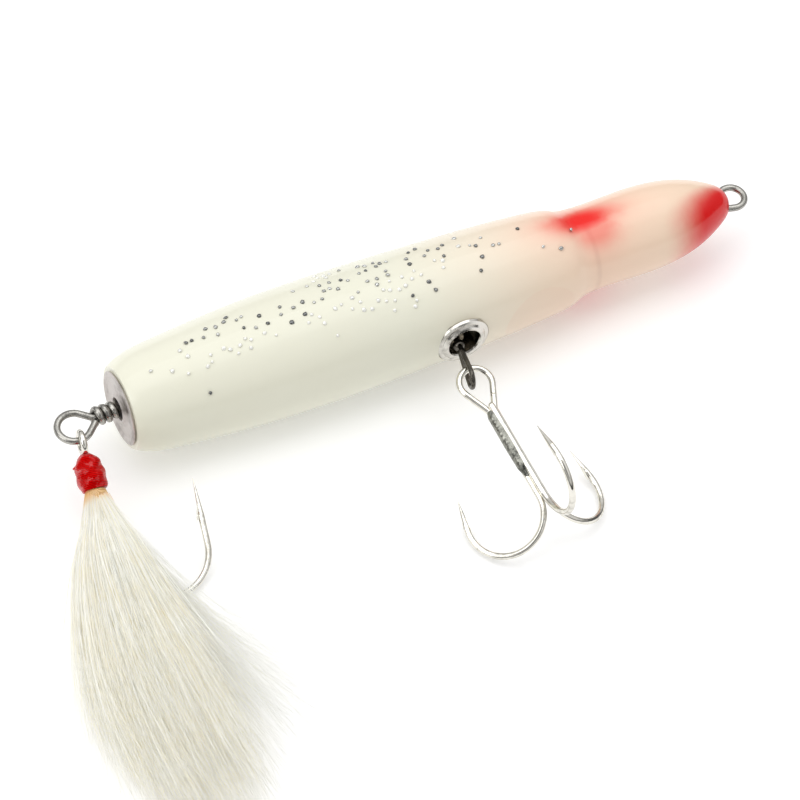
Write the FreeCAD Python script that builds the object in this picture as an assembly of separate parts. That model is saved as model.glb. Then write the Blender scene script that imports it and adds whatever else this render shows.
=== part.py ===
"""Surface fishing lure: a turned wooden plug on a through-wire, with a belly treble and a dressed tail hook.

The lure lies on its side on a flat surface. +X runs from its tail to its nose, -Y is the belly side and
+Z is up. The model is built from the tail's face on the body's axis, then moved so that the origin is
the centre of the bottom of its box. Millimetres throughout.
"""
import FreeCAD, Part
import os
from math import acos, atan2, cos, degrees, hypot, radians, sin

V = FreeCAD.Vector
AXIS_X = V(1, 0, 0)
AXIS_Z = V(0, 0, 1)

# ---- body -----------------------------------------------------------------------------------------
BODY_LENGTH = 152.0
BODY_RADIUS = 14.1
TAIL_FACE = 0.6
TAIL_RADIUS = 9.5
CREASE_AT = 113.6
CREASE_RADIUS = 9.8
CREASE_SLOPE = 0.06
HEAD_RADIUS = 9.9
BARREL_PROFILE = [(11.5, 12.25), (27.0, 13.55), (52.0, BODY_RADIUS), (78.0, 13.45), (100.0, 12.25),
                  (108.6, 10.95)]
HEAD_PROFILE = [(129.0, HEAD_RADIUS), (141.0, 8.25), (148.2, 5.15)]
AXIS_HEIGHT = BODY_RADIUS
BELLY_LIFT = 4.0

# ---- through wire ---------------------------------------------------------------------------------
WIRE_R = 0.8
CHANNEL_R = 1.4
EYE_WRAPS = 3
WRAP_PITCH = 1.66
WRAP_RADIUS = 1.47
TAIL_EYE_R = 3.7
TAIL_EYE_AT = -10.8
TAIL_EYE_SIDE = -0.8
NOSE_EYE_R = 2.95
NOSE_EYE_AT = 153.4
NOSE_NECK_AT = 147.0
NOSE_TAG = 5.0
NOSE_SLOT_R = NOSE_EYE_R + WIRE_R + 0.45
NOSE_SLOT = 2.2
NOSE_POCKET_R = 3.15
NOSE_POCKET = 11.0
NOSE_POCKET_BACK = 2.5
TAIL_NECK_AT = -6.1

# ---- grommets and weight --------------------------------------------------------------------------
TAIL_FLANGE_R = 8.5
TAIL_TUBE_R = 3.3
TAIL_BORE_R = 2.6
TAIL_TUBE = 7.5
TAIL_PLATE = 0.45
TUBE_SHORT = 0.5
BELLY_AT = 77.4
BELLY_FLANGE_R = 6.35
BELLY_BORE_R = 3.75
BELLY_HOLE_R = 4.5
BELLY_HOLE_BACK = 5.0
BELLY_FACE = 13.7
BELLY_TUBE = 5.0
BELLY_SEAT = 1.3
DRILL_RUN = 30.0
FLANGE_CUT = 10.0
WEIGHT_AT = 101.0
WEIGHT_R = 4.5
WEIGHT_LENGTH = 6.5
PLUG_LENGTH = 3.4
WEIGHT_BASE = 12.2 - PLUG_LENGTH - WEIGHT_LENGTH

# ---- barrel swivel, measured outwards from the through wire -----------------------------------------
SWIVEL_LEAN = 11.0
SWIVEL_AT = BELLY_AT + 1.2
SWIVEL_WIRE = 0.55
SWIVEL_STEM = 0.75
RUN_GAP = 0.1
INNER_RING_R = 2.05
INNER_RING_AT = 0.55
BARREL_START = 4.2
BARREL_END = 12.2
BARREL_R = 2.3
BARREL_MOUTH_R = 1.7
BARREL_WALL = 1.0
BARREL_SHOULDER = 1.6
CAVITY_R = 1.6
HEAD_LENGTH = 1.1
HEAD_BEVEL = 0.3
STEM_LAP = 0.2
OUTER_LOOP_R = 2.25
OUTER_LOOP_AT = 23.7
OUTER_NECK = 14.2
LEG_GAP = 0.03
NECK_BALL_R = 1.35

# ---- treble ---------------------------------------------------------------------------------------
TREBLE_EYE = V(74.7, -24.9, AXIS_HEIGHT + 1.5)
TREBLE_HEADING = -86.0
TREBLE_DIP = 10.15
HOOK_WIRE = 0.75
TREBLE_EYE_R = 3.75
TREBLE_NECK = 7.2
THIRD_SHANK_OVER = 0.6
TREBLE_SEAM = 3.9
TREBLE_BEND_R = 8.8
TREBLE_LENGTH = 38.1
TREBLE_POINT = 20.4
TREBLE_CLOSE = 12.0
TREBLE_TAPER = 6.0
SHANK_OFFSET = HOOK_WIRE / cos(radians(30))
BRAZE_START = TREBLE_NECK + 0.3
BRAZE_END = 24.5
BRAZE_R = 1.5
BRAZE_SIDE = 0.5
BRAZE_CLEAR = 2.0
SEAM_GAP = 0.25

# ---- points and barbs; root and top are shares of the taper ------------------------------------------
NEEDLE_R = 0.06
BARB_ROOT = 0.02
BARB_TOP = 0.55
BARB_HEIGHT = 0.65
BARB_BACK = 1.6
BARB_HALF = 0.32

# ---- tail hook and its dressing -------------------------------------------------------------------
TAIL_HOOK_LEAN = 7.0
TAIL_HOOK_DIP = 20.2
TAIL_RING_R = 2.4
RING_OUT = 0.8
RING_DROP = 0.55
TAIL_HOOK_LENGTH = 37.6
TAIL_BEND_R = 10.3
TAIL_POINT = 13.0
TAIL_OPEN = -3.0
TAIL_TAPER = 8.5
THREAD_START = 3.2
THREAD_END = 10.9
THREAD_R = 3.2
THREAD_NECK_R = 1.25
THREAD_WIDEST = 0.62
CEMENT_END = 13.2
HAIR_CLEARANCE = 0.3


def body_axis(x, y=0.0, z=0.0):
    """A point given from the tail's face and the body's axis."""
    return V(x, y, AXIS_HEIGHT + z)


# ---- sweeps and turned pieces ---------------------------------------------------------------------
def line(start, end):
    return Part.LineSegment(start, end).toShape()


def arc(centre, radius, across, along, start, end):
    """An arc from start to end, in degrees, in the plane of two unit vectors."""
    def at(angle):
        turn = radians(angle)
        return centre + across * (radius * cos(turn)) + along * (radius * sin(turn))
    return Part.Arc(at(start), at((start + end) / 2), at(end)).toShape()


def ends_of(edge):
    """An edge's first and last points, and its headings there."""
    first, last = edge.FirstParameter, edge.LastParameter
    return edge.valueAt(first), edge.valueAt(last), edge.tangentAt(first), edge.tangentAt(last)


def round_wire(edges, radius):
    """A round wire swept along tangent edges."""
    start, _, heading, _ = ends_of(edges[0])
    section = Part.Wire([Part.makeCircle(radius, start, heading)])
    return Part.Wire(edges).makePipeShell([section], True, False)


def turned(points, start, direction):
    """A solid turned about a line, from (distance, radius) corners."""
    corners = [V(radius, 0, distance) for distance, radius in points]
    solid = Part.Face(Part.makePolygon(corners + [corners[0]])).revolve(V(0, 0, 0), AXIS_Z, 360)
    solid.Placement = FreeCAD.Placement(start, FreeCAD.Rotation(AXIS_Z, direction))
    return solid


def axes_placement(origin, across, outward):
    """Places local X along across and local Z along outward."""
    return FreeCAD.Placement(origin, FreeCAD.Rotation(across, outward.cross(across), outward, "ZXY"))


# ---- body -----------------------------------------------------------------------------------------
def whole_body():
    """The plug as turned, before any hole is drilled."""
    tail = V(TAIL_FACE, 0, TAIL_RADIUS)
    tip = V(BODY_LENGTH, 0, 0)
    crease = V(CREASE_AT, 0, CREASE_RADIUS)
    slope = V(1, 0, -CREASE_SLOPE)
    barrel = Part.BSplineCurve()
    barrel.interpolate([tail] + [V(at, 0, radius) for at, radius in BARREL_PROFILE] + [crease],
                       InitialTangent=V(0.8, 0, 0.6), FinalTangent=slope)
    head = Part.BSplineCurve()
    head.interpolate([crease] + [V(at, 0, radius) for at, radius in HEAD_PROFILE] + [tip],
                     InitialTangent=slope, FinalTangent=V(0, 0, -1))
    foot = V(TAIL_FACE, 0, 0)
    outline = Part.Wire([barrel.toShape(), head.toShape(), line(tip, foot), line(foot, tail)])
    solid = Part.Face(outline).revolve(V(0, 0, 0), AXIS_X, 360)
    solid.translate(V(0, 0, AXIS_HEIGHT))
    return solid


def belly_direction():
    """The belly's outward direction, a little above level."""
    lift = radians(BELLY_LIFT)
    return V(0, -cos(lift), sin(lift))


def nose_pocket():
    """The slot and hole that the line eye is bedded in."""
    slot = Part.makeCylinder(NOSE_SLOT_R, NOSE_SLOT, body_axis(NOSE_EYE_AT, 0, -NOSE_SLOT / 2), AXIS_Z)
    bottom = body_axis(NOSE_EYE_AT - NOSE_POCKET_BACK - NOSE_POCKET)
    hole = Part.makeCylinder(NOSE_POCKET_R, NOSE_POCKET, bottom, AXIS_X)
    return slot.fuse(hole)


def make_wood_body():
    out = belly_direction()
    belly = body_axis(BELLY_AT)
    return whole_body().cut([
        Part.makeCylinder(CHANNEL_R, BODY_LENGTH, body_axis(0), AXIS_X),
        Part.makeCylinder(TAIL_TUBE_R, TAIL_TUBE, body_axis(TAIL_FACE), AXIS_X),
        nose_pocket(),
        Part.makeCylinder(BELLY_HOLE_R, DRILL_RUN, belly - out * BELLY_HOLE_BACK, out),
        Part.makeCylinder(BELLY_FLANGE_R, FLANGE_CUT, belly + out * (BELLY_FACE - BELLY_SEAT), out),
        Part.makeCylinder(WEIGHT_R, DRILL_RUN, body_axis(WEIGHT_AT) + out * WEIGHT_BASE, out),
    ])


def make_belly_weight():
    out = belly_direction()
    return Part.makeCylinder(WEIGHT_R, WEIGHT_LENGTH, body_axis(WEIGHT_AT) + out * WEIGHT_BASE, out)


def make_weight_plug():
    """The filler over the weight, dressed flush with the body."""
    out = belly_direction()
    bottom = body_axis(WEIGHT_AT) + out * (WEIGHT_BASE + WEIGHT_LENGTH)
    stick = Part.makeCylinder(WEIGHT_R, DRILL_RUN, bottom, out)
    return stick.common(whole_body())


def make_nose_filler(wire):
    """The bedding round the line eye's legs."""
    return nose_pocket().common(whole_body()).cut(wire)


# ---- through wire ---------------------------------------------------------------------------------
def level_eye(lead, back, centre, radius):
    """A level eye: from lead round the far side of a circle and on to back, tangent all the way."""
    def touch(point, turn):
        away = point - centre
        return degrees(atan2(away.y, away.x)) + turn * degrees(acos(radius / hypot(away.x, away.y)))
    side = 1 if lead.y > back.y else -1
    outward = 1 if centre.x > lead.x else -1
    first = touch(lead, -side * outward)
    last = touch(back, side * outward)
    while (last - first) * side * outward > 0:
        last -= 360 * side * outward
    loop = arc(centre, radius, AXIS_X, V(0, 1, 0), first, last)
    starts, stops, _, _ = ends_of(loop)
    return [line(lead, starts), loop, line(stops, back)]


def make_through_wire():
    """One wire: the line eye, the straight run through the body, the tail eye and its wraps."""
    nose_lead = body_axis(NOSE_NECK_AT)
    nose_back = body_axis(NOSE_NECK_AT, -WRAP_RADIUS)
    tail_lead = body_axis(TAIL_NECK_AT)
    tail_back = body_axis(TAIL_NECK_AT, -WRAP_RADIUS)
    nose_eye = level_eye(nose_lead, nose_back, body_axis(NOSE_EYE_AT), NOSE_EYE_R)
    tail_eye = level_eye(tail_lead, tail_back, body_axis(TAIL_EYE_AT, TAIL_EYE_SIDE), TAIL_EYE_R)
    coil = Part.makeHelix(WRAP_PITCH, WRAP_PITCH * EYE_WRAPS, WRAP_RADIUS)
    coil.Placement = axes_placement(body_axis(TAIL_NECK_AT), V(0, -1, 0), AXIS_X)
    run = Part.makeCylinder(WIRE_R, NOSE_NECK_AT - TAIL_NECK_AT, tail_lead, AXIS_X)
    pieces = [
        round_wire(nose_eye, WIRE_R),
        round_wire(tail_eye, WIRE_R),
        round_wire(coil.Edges, WIRE_R),
        Part.makeCylinder(WIRE_R, NOSE_TAG, nose_back, V(-1, 0, 0)),
    ]
    pieces += [Part.makeSphere(WIRE_R, joint) for joint in (nose_lead, nose_back, tail_lead, tail_back)]
    return run.fuse(pieces)


# ---- grommets -------------------------------------------------------------------------------------
def make_tail_grommet():
    """A dished washer with a short tube, over the tail's face."""
    face = TAIL_FACE
    return turned([
        (face, TAIL_TUBE_R), (face, TAIL_FLANGE_R - 0.2),
        (face - TAIL_PLATE, TAIL_FLANGE_R), (0, TAIL_FLANGE_R - 0.3),
        (-0.1, TAIL_FLANGE_R - 0.9), (0.3, TAIL_FLANGE_R - 1.8),
        (0.3, TAIL_BORE_R + 1.8), (0, TAIL_BORE_R + 1.0),
        (-0.3, TAIL_BORE_R + 0.5), (-0.2, TAIL_BORE_R + 0.1), (0.3, TAIL_BORE_R),
        (TAIL_TUBE - TUBE_SHORT, TAIL_BORE_R), (TAIL_TUBE - TUBE_SHORT, TAIL_TUBE_R),
    ], body_axis(0), AXIS_X)


def make_belly_grommet():
    """A dished flange with a rolled rim and a short tube into the belly's hole."""
    inner, outer, face = BELLY_BORE_R, BELLY_FLANGE_R, BELLY_FACE
    return turned([
        (face - BELLY_TUBE, inner), (face - BELLY_TUBE, BELLY_HOLE_R), (face - BELLY_SEAT, BELLY_HOLE_R),
        (face - BELLY_SEAT, outer - 0.3), (face - 0.9, outer), (face - 0.35, outer - 0.15),
        (face - 0.1, outer - 0.7), (face - 0.15, BELLY_HOLE_R + 0.75), (face + 0.25, BELLY_HOLE_R + 0.35),
        (face + 0.5, BELLY_HOLE_R - 0.15), (face + 0.35, BELLY_HOLE_R - 0.55), (face, inner),
    ], body_axis(BELLY_AT), belly_direction())


# ---- barrel swivel --------------------------------------------------------------------------------
def swivel_pivot():
    return body_axis(SWIVEL_AT)


def swivel_direction():
    """Outwards along the swivel, which leans towards the tail."""
    lean = radians(SWIVEL_LEAN)
    return belly_direction() * cos(lean) - AXIS_X * sin(lean)


def along_swivel(distance):
    return swivel_pivot() + swivel_direction() * distance


def swivel_turned(points):
    return turned(points, swivel_pivot(), swivel_direction())


def make_swivel_inner_eye():
    """The ring round the through wire, with its stem and head."""
    neck = INNER_RING_AT + INNER_RING_R
    head = BARREL_START + BARREL_WALL + RUN_GAP
    ring = Part.makeTorus(INNER_RING_R, SWIVEL_WIRE, along_swivel(INNER_RING_AT), swivel_across())
    bulge = CAVITY_R - RUN_GAP
    stem = swivel_turned([
        (neck - STEM_LAP, 0), (neck - STEM_LAP, SWIVEL_STEM), (head, SWIVEL_STEM), (head, bulge),
        (head + HEAD_LENGTH, bulge - HEAD_BEVEL), (head + HEAD_LENGTH, 0),
    ])
    return ring.fuse(stem)


def swivel_across():
    """The normal of the swivel eyes' plane, nearly along the body."""
    up = AXIS_X.cross(belly_direction())
    return swivel_direction().cross(up)


def make_swivel_barrel():
    """A hollow barrel with a mouth at each end for the eyes' stems."""
    mouth = SWIVEL_STEM + RUN_GAP
    first, last = BARREL_START, BARREL_END
    return swivel_turned([
        (first, mouth), (first, BARREL_MOUTH_R), (first + BARREL_SHOULDER, BARREL_R),
        (last - BARREL_SHOULDER, BARREL_R),
        (last, BARREL_MOUTH_R), (last, mouth), (last - BARREL_WALL, mouth), (last - BARREL_WALL, CAVITY_R),
        (first + BARREL_WALL, CAVITY_R), (first + BARREL_WALL, mouth),
    ])


def make_swivel_outer_eye():
    """A long narrow eye that carries the treble, with its stem and head."""
    head = BARREL_END - BARREL_WALL - RUN_GAP
    bulge = CAVITY_R - RUN_GAP
    stem = swivel_turned([
        (head - HEAD_LENGTH, 0), (head - HEAD_LENGTH, bulge - HEAD_BEVEL), (head, bulge), (head, SWIVEL_STEM),
        (OUTER_NECK, SWIVEL_STEM), (OUTER_NECK + 0.5, 0),
    ])
    out = swivel_direction()
    side = AXIS_X.cross(belly_direction())
    half_neck = SWIVEL_WIRE + LEG_GAP
    neck = along_swivel(OUTER_NECK)
    centre = along_swivel(OUTER_LOOP_AT)
    reach = hypot(OUTER_LOOP_AT - OUTER_NECK, half_neck)
    touch = degrees(acos(OUTER_LOOP_R / reach)) + degrees(atan2(half_neck, OUTER_LOOP_AT - OUTER_NECK))
    loop = arc(centre, OUTER_LOOP_R, out, side, touch - 180, 180 - touch)
    starts, stops, _, _ = ends_of(loop)
    first_leg = line(neck - side * half_neck, starts)
    last_leg = line(stops, neck + side * half_neck)
    eye = round_wire([first_leg, loop, last_leg], SWIVEL_WIRE)
    return stem.fuse([eye, Part.makeSphere(NECK_BALL_R, neck)])


# ---- hooks ----------------------------------------------------------------------------------------
class Hook:
    """A hook's wire from the top of its shank to its point, in the plane of its axis and its side."""

    def __init__(self, eye, down, side, offset, bend_r, length, point, close, taper):
        self.eye, self.down, self.side = eye, down, side
        self.offset, self.bend_r, self.length = offset, bend_r, length
        self.point, self.close, self.taper = point, close, taper

    def at(self, out, along):
        """The point out from the axis and along it from the eye."""
        return self.eye + self.side * out + self.down * along

    def edges(self, top):
        """The path from the shank's top to where the point's taper starts."""
        centre = self.at(self.offset + self.bend_r, self.length - self.bend_r)
        bend = arc(centre, self.bend_r, self.side, self.down, 180, -self.close)
        start, end, _, heading = ends_of(bend)
        spear = line(end, end + heading * self.spear(end, heading))
        return [line(self.at(self.offset, top), start), bend, spear]

    def spear(self, end, heading):
        """The spear's straight length, up to the taper."""
        rise = (end - self.eye).dot(self.down) - self.point
        return rise / -heading.dot(self.down) - self.taper

    def tip(self):
        """The needle point and the barb raised behind it, on the side that faces the shank."""
        _, base, _, heading = ends_of(self.edges(0)[-1])
        cone = Part.makeCone(HOOK_WIRE, NEEDLE_R, self.taper, base, heading)
        inward = (self.side * -1 - heading * heading.dot(self.side * -1)).normalize()
        corners = [base + heading * (self.taper * BARB_ROOT), base + heading * (self.taper * BARB_TOP),
                   base + inward * (HOOK_WIRE + BARB_HEIGHT) - heading * BARB_BACK]
        thick = heading.cross(inward).normalize() * BARB_HALF
        outline = Part.makePolygon([corner - thick for corner in corners + corners[:1]])
        return [cone, Part.Face(outline).extrude(thick * 2)]

    def solid(self, top, extra):
        """The whole hook, with extra pieces that join its shank."""
        return round_wire(self.edges(top), HOOK_WIRE).fuse(self.tip() + extra)


def treble_axes():
    """The treble's axis away from its eye, and the level and upward directions across it."""
    heading, dip = radians(TREBLE_HEADING), radians(TREBLE_DIP)
    down = V(cos(heading) * cos(dip), sin(heading) * cos(dip), -sin(dip))
    level = V(-down.y, down.x, 0).normalize()
    return down, level, down.cross(level)


def treble_pivot():
    """The middle of the eye's wire at its top, which the treble swings about."""
    down, _, upward = treble_axes()
    return TREBLE_EYE - upward * (SHANK_OFFSET / 2) - down * TREBLE_EYE_R


def treble_hook(turn):
    """The hook whose bend is turned from straight below the axis, in degrees."""
    down, level, upward = treble_axes()
    side = level * sin(radians(turn)) - upward * cos(radians(turn))
    return Hook(TREBLE_EYE, down, side, SHANK_OFFSET, TREBLE_BEND_R, TREBLE_LENGTH, TREBLE_POINT,
                TREBLE_CLOSE, TREBLE_TAPER)


def treble_eye_path():
    """The open eye, in the plane of the two lower shanks: a leg, the loop and the leg with the free end."""
    down, level, upward = treble_axes()
    centre = TREBLE_EYE - upward * (SHANK_OFFSET / 2)
    reach = hypot(TREBLE_NECK, HOOK_WIRE)
    lean = degrees(atan2(HOOK_WIRE, TREBLE_NECK))
    touch = lean + degrees(acos(TREBLE_EYE_R / reach))
    neck = centre + down * TREBLE_NECK - level * HOOK_WIRE
    loop = arc(centre, TREBLE_EYE_R, down, level, -touch, touch - 360)
    starts, stops, _, heading = ends_of(loop)
    leg = (TREBLE_SEAM - (stops - centre).dot(down)) / heading.dot(down)
    return neck, [line(neck, starts), loop, line(stops, stops + heading * leg)]


def make_treble_eye_hook():
    """The hook whose wire goes on round the open eye and ends against the second hook."""
    neck, path = treble_eye_path()
    eye = round_wire(path, HOOK_WIRE)
    return treble_hook(-60).solid(TREBLE_NECK, [eye, Part.makeSphere(HOOK_WIRE, neck)])


def make_treble_second_hook():
    """The hook whose shank is flared at the top to meet the eye's free end."""
    hook = treble_hook(60)
    _, path = treble_eye_path()
    seam = ends_of(path[-1])[1]
    neck = hook.at(SHANK_OFFSET, TREBLE_NECK)
    flare = Part.makeCylinder(HOOK_WIRE, (seam - neck).Length - SEAM_GAP, neck, seam - neck)
    return hook.solid(TREBLE_NECK, [flare, Part.makeSphere(HOOK_WIRE, neck)])


def make_treble_third_hook():
    """The upper hook, with a rounded shank end."""
    hook = treble_hook(180)
    top = TREBLE_NECK - THIRD_SHANK_OVER
    return hook.solid(top, [Part.makeSphere(HOOK_WIRE, hook.at(SHANK_OFFSET, top))])


def make_treble_braze():
    """The run of braze over the three shanks, laid from the tail side so that it stands out there."""
    down, level, _ = treble_axes()
    first, last = BRAZE_START, BRAZE_END
    bead = turned([
        (first, 0), (first, BRAZE_R - 0.5), (first + 1.2, BRAZE_R - 0.1), ((first + last) / 2, BRAZE_R),
        (last - 2.5, BRAZE_R - 0.1), (last, BRAZE_R - 0.7), (last, 0),
    ], TREBLE_EYE - level * BRAZE_SIDE, down)
    shanks = []
    for turn in (-60, 60, 180):
        base = treble_hook(turn).at(SHANK_OFFSET, first - BRAZE_CLEAR)
        shanks.append(Part.makeCylinder(HOOK_WIRE, last - first + 2 * BRAZE_CLEAR, base, down))
    return max(bead.cut(shanks).Solids, key=lambda run: run.Volume)


# ---- dressed tail hook ----------------------------------------------------------------------------
def tail_ring_centre():
    """The hook's ring hangs on the near side of the tail eye."""
    near = TAIL_EYE_SIDE - TAIL_EYE_R
    slack = TAIL_RING_R - HOOK_WIRE - WIRE_R - RUN_GAP
    return body_axis(TAIL_EYE_AT, near - slack * RING_OUT, -slack * RING_DROP)


def tail_hook():
    lean, dip = radians(TAIL_HOOK_LEAN), radians(TAIL_HOOK_DIP)
    down = V(-sin(lean) * cos(dip), -cos(lean) * cos(dip), -sin(dip))
    side = V(-down.y, down.x, 0).normalize()
    return Hook(tail_ring_centre(), down, side, 0.0, TAIL_BEND_R, TAIL_HOOK_LENGTH, TAIL_POINT,
                TAIL_OPEN, TAIL_TAPER)


def make_tail_hook():
    """A single ringed hook, its ring upright through the level tail eye."""
    hook = tail_hook()
    ring = Part.makeTorus(TAIL_RING_R, HOOK_WIRE, hook.eye, hook.side)
    return hook.solid(TAIL_RING_R, [ring])


def on_shank(points):
    hook = tail_hook()
    return turned(points, hook.eye, hook.down)


def make_thread_wrap():
    """The bulb of thread that binds the hair to the shank."""
    first, last = THREAD_START, THREAD_END
    middle = first + THREAD_WIDEST * (last - first)
    return on_shank([
        (first, HOOK_WIRE), (first, THREAD_NECK_R), (first + 1.2, THREAD_NECK_R + 0.7),
        (middle - 2.2, THREAD_R - 0.7), (middle - 0.8, THREAD_R - 0.1), (middle, THREAD_R),
        (middle + 1.2, THREAD_R - 0.15), (last - 0.4, THREAD_R - 0.7),
        (last, THREAD_R - 1.0), (last, HOOK_WIRE),
    ])


def make_tie_cement():
    """The cement soaked into the hair's butts below the thread."""
    first, last = THREAD_END, CEMENT_END
    return on_shank([(first, HOOK_WIRE), (first, THREAD_R - 1.0), (first + 0.6, THREAD_R - 0.8),
                     (last, THREAD_R - 0.6), (last, HOOK_WIRE)])


def make_bucktail(sections):
    """One tied bunch of hair, lofted through ovals of (y, x, z, half width, half height)."""
    rings = []
    for y, x, z, half_width, half_height in sections:
        oval = Part.Ellipse(V(0, 0, 0), max(half_width, half_height), min(half_width, half_height))
        across = V(0, 0, 1) if half_height > half_width else V(1, 0, 0)
        ring = Part.Wire([oval.toShape()])
        ring.Placement = axes_placement(V(x, y, z), across, V(0, -1, 0))
        rings.append(ring)
    bunch = Part.makeLoft(rings, True, False)
    hook = tail_hook()
    path = hook.edges(TAIL_RING_R)
    return bunch.cut([round_wire(path, HOOK_WIRE + HAIR_CLEARANCE)])


LEFT_BUNCH = [
    (-18.3, -14.3, 8.2, 1.6, 2.2), (-28, -18.3, 7.0, 4.2, 5.2), (-42, -21.3, 6.2, 6.0, 5.9),
    (-60, -24.0, 5.6, 7.2, 5.3), (-80, -24.2, 4.6, 6.8, 4.3), (-108, -20.0, 2.0, 2.0, 1.4),
]
RIGHT_BUNCH = [
    (-18.3, -10.8, 8.2, 1.6, 2.2), (-28, -9.7, 7.0, 4.0, 5.2), (-42, -8.9, 6.2, 6.0, 5.9),
    (-60, -9.2, 5.6, 7.2, 5.3), (-80, -10.2, 4.6, 6.8, 4.3), (-108, -12.5, 2.0, 2.0, 1.4),
]


def main():
    os.makedirs("parts", exist_ok=True)
    wire = make_through_wire()
    nodes = {
        "wood_body": make_wood_body(),
        "through_wire": wire,
        "nose_filler": make_nose_filler(wire),
        "tail_grommet": make_tail_grommet(),
        "belly_grommet": make_belly_grommet(),
        "belly_weight": make_belly_weight(),
        "weight_plug": make_weight_plug(),
        "swivel_inner_eye": make_swivel_inner_eye(),
        "swivel_barrel": make_swivel_barrel(),
        "swivel_outer_eye": make_swivel_outer_eye(),
        "treble_eye_hook": make_treble_eye_hook(),
        "treble_second_hook": make_treble_second_hook(),
        "treble_third_hook": make_treble_third_hook(),
        "treble_braze": make_treble_braze(),
        "tail_hook": make_tail_hook(),
        "thread_wrap": make_thread_wrap(),
        "tie_cement": make_tie_cement(),
        "bucktail_left": make_bucktail(LEFT_BUNCH),
        "bucktail_right": make_bucktail(RIGHT_BUNCH),
    }
    box = FreeCAD.BoundBox()
    for shape in nodes.values():
        box.add(shape.optimalBoundingBox(False))
    move = V(-box.Center.x, -box.Center.y, -box.ZMin)
    for name, shape in nodes.items():
        moved = shape.copy()
        moved.translate(move)
        moved.exportStep(f"parts/{name}.step")
        print(name, moved.isValid(), len(moved.Solids), round(moved.Volume, 2))
    places = {
        "tail eye": body_axis(TAIL_EYE_AT, TAIL_EYE_SIDE),
        "line eye": body_axis(NOSE_EYE_AT),
        "swivel pivot": swivel_pivot(),
        "treble pivot": treble_pivot(),
        "belly direction": belly_direction() - move,
        "swivel direction": swivel_direction() - move,
        "box": V(box.XLength, box.YLength, box.ZLength) - move,
    }
    for name, place in places.items():
        print(name, [round(value, 4) for value in place + move])


if __name__ == "__main__":
    main()
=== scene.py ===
"""Visual model of a wooden topwater fishing lure with a belly treble and a dressed tail hook.

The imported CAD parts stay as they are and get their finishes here. The soft and wound pieces, which CAD only
blocks out, are built here: the two bunches of hair, the thread that binds them, the cement below it and the
glitter flakes.

Inside the classes every length is in millimetres in the lure's own frame. Its first axis runs along the
body from the tail face to the nose, the second points from the belly to the back, and the third is the
height above the table.
"""

import logging
import math
from abc import ABC, abstractmethod
from dataclasses import dataclass
from enum import Enum
from typing import Any, Callable, Iterable, Mapping, Sequence

import bpy
import numpy as np
from mathutils import Matrix, Vector


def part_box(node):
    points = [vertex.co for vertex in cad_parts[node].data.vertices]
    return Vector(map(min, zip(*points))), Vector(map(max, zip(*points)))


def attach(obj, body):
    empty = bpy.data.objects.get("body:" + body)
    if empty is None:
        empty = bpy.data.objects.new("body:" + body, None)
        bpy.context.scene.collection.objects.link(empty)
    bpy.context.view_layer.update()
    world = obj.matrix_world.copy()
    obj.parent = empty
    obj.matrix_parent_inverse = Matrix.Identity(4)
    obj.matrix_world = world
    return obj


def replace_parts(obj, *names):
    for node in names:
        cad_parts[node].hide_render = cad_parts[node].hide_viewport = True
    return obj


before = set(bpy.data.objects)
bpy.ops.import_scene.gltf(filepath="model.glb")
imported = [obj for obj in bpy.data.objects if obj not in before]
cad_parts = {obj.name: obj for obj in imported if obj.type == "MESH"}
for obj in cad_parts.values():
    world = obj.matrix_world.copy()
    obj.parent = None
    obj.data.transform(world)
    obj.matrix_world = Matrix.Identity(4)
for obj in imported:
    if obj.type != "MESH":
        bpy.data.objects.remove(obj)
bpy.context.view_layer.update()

LOG = logging.getLogger("lure")
MM = 0.001
FULL_TURN = 2 * math.pi
Colour = tuple[float, float, float, float]


class Body(Enum):
    """The CAD bodies that pieces ride on."""

    LURE = "lure_body"
    DRESSED_HOOK = "dressed_hook"


class Slot(Enum):
    """The names of the record's material slots."""

    PAINT = "painted_wood"
    THREAD = "thread"
    CEMENT = "cement"
    HAIR = "hair"


# --------------------------------------------------------------------------------------------------
# Frames and mesh building
# --------------------------------------------------------------------------------------------------


@dataclass(frozen=True)
class LureFrame:
    """Where the lure's own frame lies in the row frame.

    Attributes:
        tail: the row-frame point, in metres, below the middle of the tail face and level with the table.
        axis_height: the height of the body's axis above the table, in millimetres.
    """

    tail: tuple[float, float, float]
    axis_height: float

    @classmethod
    def from_cad(cls, tail_face: float = 0.6) -> "LureFrame":
        """Reads the frame from the painted body's box.

        Args:
            tail_face: how far the painted wood starts ahead of the frame's origin.

        Returns:
            The frame.
        """
        low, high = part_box("wood_body")
        return cls((low.x - tail_face * MM, (low.y + high.y) / 2, 0.0), (low.z + high.z) / 2 / MM)

    def place(self, points: np.ndarray) -> np.ndarray:
        """Turns lure-frame points in millimetres into row-frame points in metres."""
        return points * MM + np.array(self.tail)


def unit(vectors: np.ndarray) -> np.ndarray:
    """Returns the vectors scaled to length one."""
    return vectors / np.linalg.norm(vectors, axis=-1, keepdims=True)


def smooth_through(stations: np.ndarray, values: np.ndarray, wanted: np.ndarray) -> np.ndarray:
    """Reads a smooth curve that passes through values at rising stations.

    Between two stations the curve is the cubic that has their values and the slopes of the neighbouring
    chords.

    Args:
        stations: the rising places of the values.
        values: the values at the stations.
        wanted: the places to read, in an array of any shape.

    Returns:
        The curve's values at the wanted places.
    """
    slopes = np.gradient(values, stations)
    index = np.clip(np.searchsorted(stations, wanted) - 1, 0, len(stations) - 2)
    gap = stations[index + 1] - stations[index]
    t = np.clip((wanted - stations[index]) / gap, 0, 1)
    return (
        values[index] * (1 + 2 * t) * (1 - t) ** 2
        + values[index + 1] * t**2 * (3 - 2 * t)
        + gap * (slopes[index] * t * (1 - t) ** 2 + slopes[index + 1] * t**2 * (t - 1))
    )


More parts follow.
